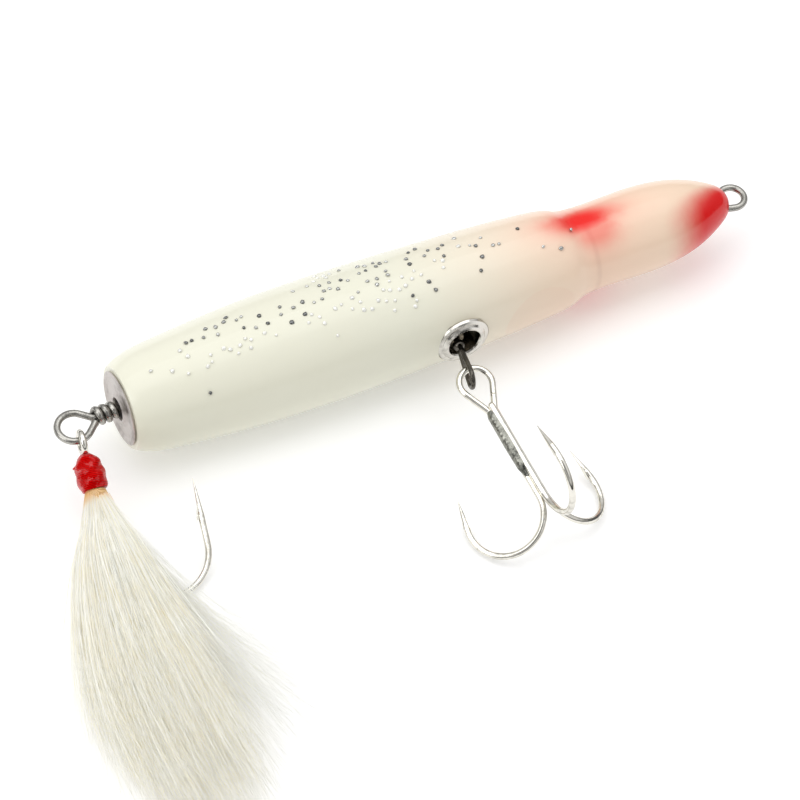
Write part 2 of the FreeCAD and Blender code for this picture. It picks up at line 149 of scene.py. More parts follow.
def stacked_rings(rings: np.ndarray) -> tuple[np.ndarray, list[list[int]]]:
    """Joins rings of points into closed shapes.

    Neighbouring rings of a shape are joined by quads, and its first and last rings are closed by one face
    each. The points of a ring run counter-clockwise about the direction in which the rings follow each
    other.

    Args:
        rings: the points, as shapes by rings by points by three.

    Returns:
        The vertices and the faces.
    """
    shapes, rows, sides = rings.shape[:3]
    index = np.arange(shapes * rows * sides).reshape(shapes, rows, sides)
    near, far = index[:, :-1], index[:, 1:]
    quads = np.stack([near, np.roll(near, -1, 2), np.roll(far, -1, 2), far], axis=-1).reshape(-1, 4)
    return rings.reshape(-1, 3), [*quads.tolist(), *index[:, 0, ::-1].tolist(), *index[:, -1].tolist()]


def tube_rings(paths: np.ndarray, radii: np.ndarray, sides: int) -> np.ndarray:
    """Carries a round section along paths.

    Each ring is its path point plus the radius times the cosine and sine of the turn, along two directions
    square to the path.

    Args:
        paths: the centre lines, as tubes by points by three.
        radii: the radius at each path point.
        sides: the points round the section.

    Returns:
        The rings, for stacked_rings.
    """
    tangent = unit(np.gradient(paths, axis=1))
    across = unit(np.cross(tangent, np.array([0.31, 0.12, 0.94])))
    third = np.cross(tangent, across)
    turn = np.arange(sides) * FULL_TURN / sides
    cosine, sine = np.cos(turn)[None, None, :, None], np.sin(turn)[None, None, :, None]
    spread = across[:, :, None] * cosine + third[:, :, None] * sine
    return paths[:, :, None] + radii[:, :, None, None] * spread


def new_piece(
    name: str,
    body: Body,
    slot: Slot,
    finish: "Finish",
    points: np.ndarray,
    faces: list[list[int]],
    attributes: Mapping[str, np.ndarray] | None = None,
) -> bpy.types.Object:
    """Makes a smooth-shaded mesh object that rides on a CAD body.

    Args:
        name: the piece's name.
        body: the CAD body that it moves with.
        slot: not used.
        finish: its finish.
        points: the vertices in the row frame, in metres.
        faces: the faces, as lists of vertex numbers.
        attributes: numbers per vertex that the finish reads, by name.

    Returns:
        The object.
    """
    mesh = bpy.data.meshes.new(name)
    mesh.from_pydata(points.tolist(), [], faces)
    mesh.polygons.foreach_set("use_smooth", np.ones(len(mesh.polygons), bool))
    for key, values in (attributes or {}).items():
        layer = mesh.attributes.new(key, "FLOAT", "POINT")
        layer.data.foreach_set("value", np.asarray(values, np.float32).ravel())
    mesh.materials.append(finish.material())
    mesh.update()
    piece = bpy.data.objects.new(name, mesh)
    bpy.context.scene.collection.objects.link(piece)
    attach(piece, body.value)
    return piece


def dress(node: str, finish: "Finish") -> bpy.types.Object:
    """Gives every material slot of a CAD node one finish.

    Args:
        node: the CAD node.
        finish: its finish.

    Returns:
        The node's object.
    """
    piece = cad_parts[node]
    for slot in piece.material_slots:
        slot.material = finish.material()
    return piece


# --------------------------------------------------------------------------------------------------
# Finishes
# --------------------------------------------------------------------------------------------------


def shade(red: float, green: float, blue: float) -> Colour:
    """Returns the scene-linear colour of a display colour given from 0 to 255."""
    display = np.array([red, green, blue]) / 255
    linear = np.where(display <= 0.04045, display / 12.92, ((display + 0.055) / 1.055) ** 2.4)
    return (float(linear[0]), float(linear[1]), float(linear[2]), 1.0)


class Field:
    """A socket whose value changes over a surface. Arithmetic on it adds Math nodes."""

    def __init__(self, recipe: "Recipe", socket: bpy.types.NodeSocket) -> None:
        """Keeps the socket and the recipe that it belongs to."""
        self.recipe = recipe
        self.socket = socket

    def other(self, output: int | str) -> "Field":
        """Returns another output of the same node."""
        return Field(self.recipe, self.socket.node.outputs[output])

    def _maths(self, operation: str, first: "Field | float", second: "Field | float" = 0.0) -> "Field":
        """Adds one Math node and returns its result."""
        return self.recipe.add("ShaderNodeMath", {"operation": operation}, {0: first, 1: second})

    @staticmethod
    def _operator(operation: str, reflected: bool = False) -> Callable[["Field", "Field | float"], "Field"]:
        """Returns the method for one arithmetic sign.

        Args:
            operation: the Math node's operation.
            reflected: whether the other value stands in front.

        Returns:
            The method.
        """

        def method(self: "Field", other: "Field | float") -> "Field":
            """Returns this value and the other one joined by the operation."""
            return self._maths(operation, other, self) if reflected else self._maths(operation, self, other)

        return method

    __add__, __radd__ = _operator("ADD"), _operator("ADD", True)
    __sub__, __rsub__ = _operator("SUBTRACT"), _operator("SUBTRACT", True)
    __mul__, __rmul__ = _operator("MULTIPLY"), _operator("MULTIPLY", True)
    __truediv__, __rtruediv__ = _operator("DIVIDE"), _operator("DIVIDE", True)
    __pow__ = _operator("POWER")

    def at_least(self, other: "Field | float") -> "Field":
        """Returns the larger of two values."""
        return self._maths("MAXIMUM", self, other)

    def sine(self) -> "Field":
        """Returns the sine."""
        return self._maths("SINE", self)

    def eased(self, start: float, end: float) -> "Field":
        """Returns 0 up to start and 1 past end, with a smooth step between."""
        return self.recipe.add(
            "ShaderNodeMapRange",
            {"interpolation_type": "SMOOTHSTEP", "clamp": True},
            {"Value": self, "From Min": start, "From Max": end, "To Min": 0.0, "To Max": 1.0},
        )


class Recipe:
    """The nodes of a material or of the surroundings while they are being put together."""

    def __init__(self, owner: bpy.types.Material | bpy.types.World) -> None:
        """Starts with no nodes."""
        owner.use_nodes = True
        self.tree = owner.node_tree
        self.tree.nodes.clear()

    def add(
        self,
        kind: str,
        settings: Mapping[str, Any] | None = None,
        sockets: Mapping[int | str, Any] | None = None,
        output: int | str = 0,
    ) -> Field:
        """Adds a node, with its settings first and then the values or links of its sockets.

        Args:
            kind: the node's type.
            settings: its properties, with a ramp's (place, colour) stops under "stops".
            sockets: numbers, colours or fields by socket.
            output: the output to return.

        Returns:
            The chosen output.
        """
        node = self.tree.nodes.new(kind)
        for key, value in (settings or {}).items():
            if key == "stops":
                while len(node.color_ramp.elements) < len(value):
                    node.color_ramp.elements.new(1.0)
                for element, (place, colour) in zip(node.color_ramp.elements, value):
                    element.position, element.color = place, colour
            else:
                setattr(node, key, value)
        for key, value in (sockets or {}).items():
            if isinstance(value, Field):
                self.tree.links.new(value.socket, node.inputs[key])
            else:
                node.inputs[key].default_value = value
        return Field(self, node.outputs[output] if node.outputs else node.inputs[0])

    def millimetres(self, origin: Sequence[float] = (0.0, 0.0, 0.0)) -> Field:
        """Returns the row-frame place in millimetres from an origin given in metres."""
        place = self.add("ShaderNodeTexCoord", output="Object")
        return self.add(
            "ShaderNodeMapping",
            {"vector_type": "POINT"},
            {
                "Vector": place,
                "Location": [-value / MM for value in origin],
                "Scale": (1 / MM, 1 / MM, 1 / MM),
            },
        )

    def parts(self, vector: Field) -> tuple[Field, Field, Field]:
        """Returns the three parts of a vector."""
        first = self.add("ShaderNodeSeparateXYZ", None, {0: vector})
        return first, first.other(1), first.other(2)

    def noise(self, vector: Field, size: float, detail: float = 3.0, rough: float = 0.5) -> Field:
        """Returns soft random values from 0 to 1 whose blotches are about size across."""
        return self.add(
            "ShaderNodeTexNoise",
            {"noise_dimensions": "3D"},
            {"Vector": vector, "Scale": 1 / size, "Detail": detail, "Roughness": rough},
        )

    def attribute(self, name: str) -> Field:
        """Returns a number that the mesh holds for each vertex."""
        return self.add("ShaderNodeAttribute", {"attribute_name": name}, output="Fac")

    def mix(self, share: Field | float, first: Any, second: Any) -> Field:
        """Mixes two colours.

        Args:
            share: how much of the second, from 0 to 1.
            first: the first colour or field.
            second: the second colour or field.

        Returns:
            The mixed colour.
        """
        settings = {"data_type": "RGBA", "blend_type": "MIX", "clamp_factor": True}
        return self.add("ShaderNodeMix", settings, {0: share, 6: first, 7: second}, output=2)

    def bump(self, height: Field, depth: float, strength: float = 1.0) -> Field:
        """Returns a normal raised by a height from 0 to 1 that stands for depth millimetres."""
        values = {"Height": height, "Distance": depth * MM, "Strength": strength}
        return self.add("ShaderNodeBump", None, values)

    def finish(self, sockets: Mapping[str, Any]) -> None:
        """Adds the surface shader with these sockets."""
        shader = self.add("ShaderNodeBsdfPrincipled", None, sockets)
        self.add("ShaderNodeOutputMaterial", None, {"Surface": shader})


_MADE: dict["Finish", bpy.types.Material] = {}


@dataclass(frozen=True)
class Finish(ABC):
    """A surface finish. Each one is made into a material once."""

    name: str

    @abstractmethod
    def sockets(self, recipe: Recipe) -> dict[str, Any]:
        """Adds the finish's nodes and returns the surface shader's sockets."""

    def material(self) -> bpy.types.Material:
        """Returns the finish's material, which is made on first use."""
        if self not in _MADE:
            _MADE[self] = bpy.data.materials.new(self.name)
            recipe = Recipe(_MADE[self])
            recipe.finish(self.sockets(recipe))
        return _MADE[self]


@dataclass(frozen=True)
class PearlPaint(Finish):
    """Cream pearl lacquer, peach towards the head, sprayed red on both flanks of the neck and the throat."""

    name: str = "pearl_paint"
    origin: tuple[float, float, float] = (0.0, 0.0, 0.0)
    cream: Colour = shade(236, 235, 217)
    peach: Colour = shade(248, 220, 195)
    deep_peach: Colour = shade(238, 196, 172)
    red: Colour = shade(240, 16, 0)
    throat_red: Colour = shade(222, 4, 4)
    # painted shade: the darker colour of a narrow band along the crease at the neck
    crease_painted_shade: Colour = shade(196, 160, 140)
    peach_start: float = 62.0
    peach_end: float = 118.0
    crease_at: float = 113.6
    throat_start: float = 130.2
    throat_end: float = 142.6
    throat_bend: float = 0.175
    crease_width: float = 0.6

    def flank_spray(self, s: Field, y: Field, wobble: Field) -> Field:
        """Returns the share of red of the sprayed spot on each flank of the neck.

        It is the larger of two oval puffs, each one over one plus the fourth power of the distance in
        half-widths.
        """
        main = ((s - 113.3 + wobble) / 8.3) ** 2 + ((y - 1.1 - wobble * 0.4) / 3.6) ** 2
        low = ((s - 115.4 - wobble) / 5.6) ** 2 + ((y + 2.2) / 4.0) ** 2
        return (1 / (main * main + 1)).at_least(0.62 / (low * low + 1))

    def throat_spray(self, s: Field, y: Field, wobble: Field) -> Field:
        """Returns the throat's share of red, past an edge that bends towards the nose away from the belly."""
        lift = (y + 7.0).at_least(0.0)
        return (s - lift * lift * self.throat_bend + wobble * 0.6).eased(self.throat_start, self.throat_end)

    def sockets(self, recipe: Recipe) -> dict[str, Any]:
        """Layers the sprayed colours over the cream ground, paints shade in a narrow band along the neck's
        crease and adds a wavy clear coat.
        """
        point = recipe.millimetres(self.origin)
        s, y, z = recipe.parts(point)
        cloud = recipe.noise(point, 16.0, 2.0)
        wobble = (recipe.noise(point, 3.2, 2.0) - 0.5) * 2.6
        headward = (s + (cloud - 0.5) * 10).eased(self.peach_start, self.peach_end)
        ground = recipe.mix(headward, self.cream, self.peach)
        ground = recipe.mix((cloud - 0.35) * 0.16, ground, shade(226, 218, 190))
        patch_reach = ((s - 97.5) / 9.2) ** 2 + ((z + 1.0) / 7.4) ** 2
        patch = (1 - patch_reach.eased(0.90, 1.04)) * (0 - y).eased(3.0, 7.0)
        ground = recipe.mix(patch * 0.17, ground, self.deep_peach)
        throat = self.throat_spray(s, y, wobble)
        spray = self.flank_spray(s, y, wobble)
        # painted shade along the crease: a narrow darker band laid under the sprayed red
        crease = 1 / ((((s - self.crease_at) / self.crease_width) ** 2) ** 2 + 1)
        colour = recipe.mix(crease * 0.20, ground, self.crease_painted_shade)
        colour = recipe.mix(spray, colour, self.red)
        colour = recipe.mix(throat, colour, self.throat_red)
        nibs = recipe.noise(point, 0.55, 1.0).eased(0.70, 0.80)
        waves = recipe.noise(point, 7.0, 1.0) + recipe.noise(point, 2.2, 1.0) * 0.16 + nibs * 0.10
        return {
            "Base Color": colour,
            "Roughness": 0.30 + cloud * 0.12,
            "Coat Weight": 0.5,
            "Coat Roughness": 0.035,
            "Coat IOR": 1.48,
            "Specular IOR Level": 0.2,
            "Normal": recipe.bump(waves, 0.09, 0.55),
        }


@dataclass(frozen=True)
class Filler(Finish):
    """Brush-filled lacquer of one colour with a glossy skin."""

    name: str = "red_filler"
    colour: Colour = shade(200, 30, 30)
    dark: Colour = shade(128, 12, 16)

    def sockets(self, recipe: Recipe) -> dict[str, Any]:
        """Mottles the colour and dents the skin."""
        point = recipe.millimetres()
        mottle = recipe.noise(point, 1.8, 4.0)
        return {
            "Base Color": recipe.mix(mottle.eased(0.35, 0.75), self.colour, self.dark),
            "Roughness": 0.25 + mottle * 0.2,
            "Coat Weight": 0.8,
            "Coat Roughness": 0.08,
            "Normal": recipe.bump(recipe.noise(point, 0.9, 3.0), 0.12, 0.6),
        }


@dataclass(frozen=True)
class BrightMetal(Finish):
    """Plated or drawn metal with a fine bumpy grain, duller blotches and uneven polish."""

    name: str = "tin_plate"
    bright: Colour = shade(232, 229, 220)
    dull: Colour = shade(196, 193, 184)
    polish: float = 0.07
    unevenness: float = 0.12
    grain: float = 1.1
    relief: float = 0.02

    def sockets(self, recipe: Recipe) -> dict[str, Any]:
        """Breaks up the plating with blotches of two sizes."""
        point = recipe.millimetres()
        blotch = recipe.noise(point, 4.5, 3.0)
        fine = recipe.noise(point, self.grain, 2.0)
        wear = (blotch * 0.6 + fine * 0.4).eased(0.42, 0.70)
        return {
            "Base Color": recipe.mix(wear, self.bright, self.dull),
            "Metallic": 1.0,
            "Roughness": self.polish + wear * self.unevenness,
            "Normal": recipe.bump(fine + blotch * 1.5, self.relief),
        }


@dataclass(frozen=True)
class PressedSteel(BrightMetal):
    """A pressed washer's plated steel, with turned rings about its own axis."""

    name: str = "pressed_steel"
    bright: Colour = shade(214, 212, 208)
    dull: Colour = shade(158, 154, 150)
    centre: tuple[float, float, float] = (0.0, 0.0, 0.0)
    axis: tuple[float, float, float] = (1.0, 0.0, 0.0)
    ring_pitch: float = 0.42

    def sockets(self, recipe: Recipe) -> dict[str, Any]:
        """Adds faint rings, the sine of the distance from the axis over the pitch, to the plated metal."""
        made = super().sockets(recipe)
        point = recipe.millimetres(self.centre)
        along = recipe.add(
            "ShaderNodeVectorMath", {"operation": "DOT_PRODUCT"}, {0: point, 1: self.axis}, "Value"
        )
        whole = recipe.add("ShaderNodeVectorMath", {"operation": "LENGTH"}, {0: point}, "Value")
        distance = (whole * whole - along * along).at_least(0.0) ** 0.5
        blotch = recipe.noise(point, 1.6, 3.0)
        rings = (distance * (FULL_TURN / self.ring_pitch) + blotch * 3.0).sine() * 0.5 + 0.5
        made["Roughness"] = self.polish + blotch * self.unevenness + rings * 0.06
        made["Normal"] = recipe.bump(rings * 0.2 + blotch, self.relief)
        return made


@dataclass(frozen=True)
class BrazedJoint(BrightMetal):
    """Lumpy braze run over the treble's shanks."""

    name: str = "braze"
    bright: Colour = shade(150, 150, 142)
    dull: Colour = shade(40, 42, 40)
    polish: float = 0.22
    unevenness: float = 0.2
    grain: float = 0.8

    def sockets(self, recipe: Recipe) -> dict[str, Any]:
        """Pits the metal with cells about half a millimetre across."""
        made = super().sockets(recipe)
        point = recipe.millimetres()
        cells = recipe.add(
            "ShaderNodeTexVoronoi", {"feature": "F1"}, {"Vector": point, "Scale": 1.6}, "Distance"
        )
        made["Normal"] = recipe.bump(cells + recipe.noise(point, 0.5, 3.0) * 0.5, 0.09)
        return made


@dataclass(frozen=True)
class CastLead(Finish):
    """The dull casting of the belly weight."""

    name: str = "cast_lead"

    def sockets(self, recipe: Recipe) -> dict[str, Any]:
        """Blotches the oxide and roughens the casting."""
        point = recipe.millimetres()
        oxide = recipe.noise(point, 1.5, 4.0)
        return {
            "Base Color": recipe.mix(oxide, shade(92, 94, 98), shade(140, 142, 146)),
            "Metallic": 0.85,
            "Roughness": 0.5 + oxide * 0.25,
            "Normal": recipe.bump(oxide, 0.1),
        }


@dataclass(frozen=True)
class VarnishedThread(Finish):
    """Scarlet binding thread soaked in clear varnish. The mesh's own ridges are the turns of thread."""

    name: str = "varnished_thread"

    def sockets(self, recipe: Recipe) -> dict[str, Any]:
        """Paints shade into the valleys between turns and lets the varnish pool unevenly."""
        point = recipe.millimetres()
        ridge = recipe.attribute("ridge")
        pool = recipe.noise(point, 1.3, 3.0)
        fibre = recipe.noise(point, 0.12, 2.0)
        # painted shade: dark red where the ridge is low, in the valleys between turns
        colour = recipe.mix(ridge.eased(0.1, 0.9), shade(120, 0, 0), shade(204, 0, 2))
        colour = recipe.mix(pool.eased(0.45, 0.85) * 0.35, colour, shade(226, 6, 6))
        return {
            "Base Color": colour,
            "Roughness": 0.24 + fibre * 0.2,
            "Specular IOR Level": 0.5,
            "Specular Tint": (1.0, 0.04, 0.03, 1.0),
            "Coat Weight": pool.eased(0.50, 0.60),
            "Coat Roughness": 0.03,
            "Normal": recipe.bump(fibre * 0.12 + pool, 0.06),
        }


@dataclass(frozen=True)
class AmberCement(Finish):
    """Head cement soaked into hair butts, honey coloured and streaked along the hair."""

    name: str = "amber_cement"

    def sockets(self, recipe: Recipe) -> dict[str, Any]:
        """Streaks the honey colour by the butts' ridges, with painted shade: darker amber in the grooves
        between butts.
        """
        point = recipe.millimetres()
        ridge = recipe.attribute("ridge")
        cloud = recipe.noise(point, 0.9, 3.0)
        # painted shade: darker amber in the grooves between butts, lighter on their ridges
        colour = recipe.mix(ridge, shade(176, 118, 52), shade(240, 204, 146))
        return {
            "Base Color": recipe.mix(cloud * 0.5, colour, shade(226, 180, 112)),
            "Roughness": 0.28 + cloud * 0.25,
            "Coat Weight": 0.6,
            "Coat Roughness": 0.12,
            "Normal": recipe.bump(cloud, 0.1),
        }


@dataclass(frozen=True)
class DeerHair(Finish):
    """Bleached tail hair: cream strands with warm and grey ones among them, honey coloured at the butts.

    The strands let light through, which a faint glow of their own colour stands for.
    """

    name: str = "deer_hair"
    white: Colour = shade(252, 251, 243)
    warm: Colour = shade(244, 236, 212)
    grey: Colour = shade(222, 225, 224)
    butt: Colour = shade(240, 200, 138)
    glow: float = 0.135

    def sockets(self, recipe: Recipe) -> dict[str, Any]:
        """Colours each strand by its own random draw and by the distance from the tie."""
        point = recipe.millimetres()
        tone, along = recipe.attribute("tone"), recipe.attribute("along")
        streak = recipe.noise(point, 5.0, 2.0)
        colour = recipe.mix((tone * 0.75 + streak * 0.5).eased(0.45, 1.0), self.white, self.warm)
        colour = recipe.mix(tone.eased(0.70, 0.95) * 0.8, colour, self.grey)
        colour = recipe.mix(1 - along.eased(0.015, 0.055), colour, self.butt)
        return {
            "Base Color": colour,
            "Roughness": 0.36 + tone * 0.14,
            "Specular IOR Level": 0.35,
            "Emission Color": colour,
            "Emission Strength": self.glow,
        }


@dataclass(frozen=True)
class SilverFlake(Finish):
    """Metal glitter under a bead of clear lacquer. Each flake has its own brightness, which is painted
    reflection: dark silver, or white with a painted highlight.
    """

    name: str = "silver_flake"

    def sockets(self, recipe: Recipe) -> dict[str, Any]:
        """Mixes dark silver, bright silver and white by the flake's own number, which paints its reflection
        and highlight.
        """
        point = recipe.millimetres()
        tone = recipe.attribute("tone")
        facet = recipe.noise(point, 0.3, 1.0)
        # painted reflection: the flake's number, with a little random facet, mixes dark and bright silver
        painted_reflection_share = (tone + (facet - 0.5) * 0.5).eased(0.05, 0.5)
        silver = recipe.mix(painted_reflection_share, shade(92, 94, 94), shade(210, 211, 208))
        return {
            # painted highlight: bright flakes turn white and less metallic
            "Base Color": recipe.mix(tone.eased(0.5, 0.9), silver, shade(250, 250, 244)),
            "Metallic": 0.9 - tone.eased(0.4, 0.85) * 0.75,
            "Roughness": 0.14 + facet * 0.16,
            "Coat Weight": 1.0,
            "Coat Roughness": 0.03,
            "Normal": recipe.bump(facet, 0.05),
        }


@dataclass(frozen=True)
class TableTop(Finish):
    """A lit white table that the object lies on. It glows a little, so that only deep shadows show."""

    name: str = "table_top"
    glow: float = 0.20

    def sockets(self, recipe: Recipe) -> dict[str, Any]:
        """Returns matt white with a faint texture and an even glow."""
        point = recipe.millimetres()
        paper = recipe.noise(point, 0.8, 2.0)
        return {
            "Base Color": recipe.mix(paper, (0.90, 0.90, 0.90, 1.0), (0.92, 0.92, 0.92, 1.0)),
            "Roughness": 0.9,
            "Specular IOR Level": 0.0,
            "Emission Color": (1.0, 1.0, 1.0, 1.0),
            "Emission Strength": self.glow,
        }


# --------------------------------------------------------------------------------------------------
# The painted body and the hardware on it
# --------------------------------------------------------------------------------------------------


class Flank(Enum):
    """The body's two flanks: the one that looks up and the one that the lure lies on."""

    UPPER = 1.0
    LOWER = -1.0


@dataclass(frozen=True)
class Sprinkle:
    """One pinch of glitter.

    Attributes:
        along: its middle's distance from the tail.
        turn: its middle's angle from the belly, in degrees.
        spread: the standard spread along the body.
        turn_spread: the standard spread round the body, in degrees.
        count: the flakes in it.
        tone: how bright its flakes are, from 0 for dark silver to 1 for white; this is painted reflection,
            mostly dark for pinches high on the flank and white for those lower down.
        lower: whether the lower flank has it too.
    """

    along: float
    turn: float
    spread: float
    turn_spread: float
    count: int
    tone: float
    lower: bool = True


@dataclass
class GlitterFlakes:
    """Raised flakes scattered in the clear coat of a flank."""

    lure: LureFrame
    # the last number of each pinch paints its flakes' reflection: mostly dark high on the flank, white lower
    # down
    sprinkles: tuple[Sprinkle, ...] = (
        Sprinkle(24.0, 101.0, 4.0, 6.5, 22, 0.25),
        Sprinkle(46.0, 100.0, 9.5, 8.5, 32, 0.3),
        Sprinkle(62.0, 106.0, 4.5, 9.0, 20, 0.25),
        Sprinkle(75.0, 106.0, 2.8, 9.0, 16, 0.15),
        Sprinkle(13.0, 82.0, 3.5, 9.0, 8, 0.8),
        Sprinkle(27.0, 78.0, 5.0, 6.5, 17, 0.95),
        Sprinkle(48.0, 75.0, 6.0, 7.0, 22, 0.95),
        Sprinkle(66.0, 80.0, 5.5, 8.0, 30, 0.95),
        Sprinkle(53.0, 121.0, 5.0, 5.0, 13, 0.9),
        Sprinkle(71.0, 72.0, 2.5, 8.0, 4, 0.05),
        Sprinkle(90.0, 98.0, 6.0, 12.0, 11, 0.4),
        Sprinkle(105.0, 70.0, 2.5, 9.0, 4, 0.4),
        Sprinkle(17.2, 43.0, 0.1, 0.1, 1, 0.0, lower=False),
    )
    smallest: float = 0.38
    largest: float = 0.60
    height: float = 0.32
    sides: int = 8
    lower_share: float = 0.6
    spacing: float = 1.25
    table_gap: float = 0.4
    seed: int = 11

    def skin_radius(self, along: np.ndarray) -> np.ndarray:
        """Returns the body's radius at places along it, read from the outermost vertices of its mesh."""
        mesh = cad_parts["wood_body"].data
        points = np.zeros(len(mesh.vertices) * 3)
        mesh.vertices.foreach_get("co", points)
        points = (points.reshape(-1, 3) - np.array(self.lure.tail)) / MM
        radius = np.hypot(points[:, 1], points[:, 2] - self.lure.axis_height)
        stations = np.arange(1.0, 150.0, 2.0)
        near = np.abs(points[None, :, 0] - stations[:, None]) < 1.5
        outer = np.where(near, radius[None], 0).max(axis=1)
        seen = outer > 0
        return np.interp(along, stations[seen], outer[seen])

    def build(self, flank: Flank) -> bpy.types.Object:
        """Builds one flank's flakes.

        A flake is a low bead: rings of an uneven radius that shrink as they rise from the skin, on a plane
        that tips a little from it.

        Args:
            flank: the flank.

        Returns:
            The flakes as one piece.
        """
        rng = np.random.default_rng(self.seed + (0 if flank is Flank.UPPER else 100))
        share = 1.0 if flank is Flank.UPPER else self.lower_share
        pinches = [pinch for pinch in self.sprinkles if pinch.lower or flank is Flank.UPPER]
        counts = [math.ceil(pinch.count * share) for pinch in pinches]
        along, turn, spread, turn_spread, tone = (
            np.repeat([getattr(pinch, name) for pinch in pinches], counts)
            for name in ("along", "turn", "spread", "turn_spread", "tone")
        )
        along = np.clip(rng.normal(along, spread), 4.0, 110.0)
        turn = np.radians(rng.normal(turn, turn_spread)) * flank.value
        # each flake's painted reflection, drawn about its pinch's value
        tone = np.clip(rng.normal(tone, 0.14), 0.0, 1.0)
        radius = self.skin_radius(along)
        clear = self.lure.axis_height + radius * np.sin(turn) > self.table_gap
        place = np.stack([along, turn * radius], axis=-1)
        gap = np.linalg.norm(place[:, None] - place[None], axis=-1)
        crowded = (np.tril(gap < self.spacing, -1) & clear[None]).any(axis=1)
        clear &= ~crowded
        along, turn, radius, tone = along[clear], turn[clear], radius[clear], tone[clear]
        count = len(along)
        normal = np.stack([np.zeros(count), -np.cos(turn), np.sin(turn)], axis=-1)
        normal = unit(normal + rng.normal(0, 0.22, (count, 3)))
        first = unit(np.cross(normal, np.array([0.1, 1.0, 0.05])))
        second = np.cross(normal, first)
        spot = np.stack(
            [along, -np.cos(turn) * radius, self.lure.axis_height + np.sin(turn) * radius],
            axis=-1,
        )
        size = rng.uniform(self.smallest, self.largest, (count, 1))
        size = size * rng.uniform(0.82, 1.15, (count, self.sides))
        angle = np.arange(self.sides) * FULL_TURN / self.sides
        level = np.array([-0.35, 0.35, 0.82, 1.0])
        reach = np.array([1.0, 0.96, 0.68, 0.25])
        out = size[:, None, :] * reach[None, :, None]
        rings = (
            spot[:, None, None]
            + first[:, None, None] * (out * np.cos(angle))[..., None]
            + second[:, None, None] * (out * np.sin(angle))[..., None]
            + normal[:, None, None] * (level * self.height)[None, :, None, None]
        )
        points, faces = stacked_rings(rings)
        return new_piece(
            f"glitter_{flank.name.lower()}_flank",
            Body.LURE,
            Slot.PAINT,
            SilverFlake(),
            self.lure.place(points),
            faces,
            # each flake's painted reflection, which its finish reads
            {"tone": np.repeat(tone, len(level) * self.sides)},
        )


@dataclass
class PaintedBody:
    """The turned wooden body, with its filled weight hole, its nose filler and its glitter."""

    lure: LureFrame

    def build(self) -> Iterable[bpy.types.Object]:
        """Dresses the wood and its fillings and adds the glitter."""
        origin = (self.lure.tail[0], self.lure.tail[1], self.lure.axis_height * MM)
        paint = PearlPaint(origin=origin)
        yield dress("wood_body", paint)
        yield dress("weight_plug", paint)
        yield dress("nose_filler", Filler())
        yield dress("belly_weight", CastLead())
        flakes = GlitterFlakes(self.lure)
        for flank in Flank:
            yield flakes.build(flank)


@dataclass
class Hardware:
    """The through-wire and the two pressed grommets that line its holes."""

    lure: LureFrame
    wire: BrightMetal = BrightMetal(
        "drawn_wire", shade(176, 174, 168), shade(112, 110, 106), 0.20, 0.16, 0.25
    )

    def build(self) -> Iterable[bpy.types.Object]:
        """Dresses the wire and both grommets."""
        yield dress("through_wire", self.wire)
        axis_point = (self.lure.tail[0], self.lure.tail[1], self.lure.axis_height * MM)
        yield dress("tail_grommet", PressedSteel(
            "tail_washer_steel", shade(196, 190, 186), shade(160, 154, 150), polish=0.30, centre=axis_point
        ))
        low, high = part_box("belly_grommet")
        middle = tuple((low + high) / 2)
        belly = PressedSteel(
            "belly_cup_steel",
            shade(214, 211, 204),
            shade(168, 165, 158),
            polish=0.08,
            centre=middle,
            axis=(0.0, -0.9976, 0.0698),
            ring_pitch=0.8,
        )
        yield dress("belly_grommet", belly)


@dataclass
class BellyTackle:
    """The barrel swivel under the belly and the treble hook that hangs on it."""

    swivel_wire: BrightMetal = BrightMetal(
        "swivel_wire", shade(96, 92, 86), shade(46, 44, 42), 0.22, 0.20, 0.25
    )
    swivel_shell: BrightMetal = BrightMetal(
        "swivel_shell", shade(112, 104, 90), shade(56, 52, 46), 0.24, 0.20, 0.3
    )
    plating: BrightMetal = BrightMetal()

    def build(self) -> Iterable[bpy.types.Object]:
        """Dresses the swivel's three pieces, the three hooks and their brazing."""
        yield dress("swivel_inner_eye", self.swivel_wire)
        yield dress("swivel_outer_eye", self.swivel_wire)
        yield dress("swivel_barrel", self.swivel_shell)
        for hook in ("treble_eye_hook", "treble_second_hook", "treble_third_hook"):
            yield dress(hook, self.plating)
        yield dress("treble_braze", BrazedJoint())


# --------------------------------------------------------------------------------------------------
# The dressed tail hook
# --------------------------------------------------------------------------------------------------


@dataclass(frozen=True)
class Shank:
    """The tail hook's straight shank, from the middle of its ring.

    Attributes:
        eye: the middle of the ring.
        lean: the shank's turn from square to the body towards the tail, in degrees.
        dip: its slope down to the table, in degrees.
    """

    eye: tuple[float, float, float] = (-10.8, -5.1, 13.69)
    lean: float = 7.0
    dip: float = 20.2

    def axes(self) -> tuple[np.ndarray, np.ndarray, np.ndarray]:
        """Returns the direction down the shank and two directions square to it."""
        lean, dip = math.radians(self.lean), math.radians(self.dip)
        down = np.array([-math.sin(lean) * math.cos(dip), -math.cos(lean) * math.cos(dip), -math.sin(dip)])
        side = unit(np.array([-down[1], down[0], 0.0]))
        return down, side, np.cross(down, side)

    def turned(self, distance: np.ndarray, radius: np.ndarray, angle: np.ndarray) -> np.ndarray:
        """Places a surface turned about the shank.

        Args:
            distance: the distance of each ring from the eye.
            radius: the radius at each ring and angle.
            angle: the angles round the shank.

        Returns:
            One shape's rings, for stacked_rings.
        """
        down, side, third = self.axes()
        rings = (
            np.array(self.eye)
            + distance[:, None, None] * down
            + (radius * np.cos(angle))[..., None] * side
            + (radius * np.sin(angle))[..., None] * third
        )
        return rings[None]


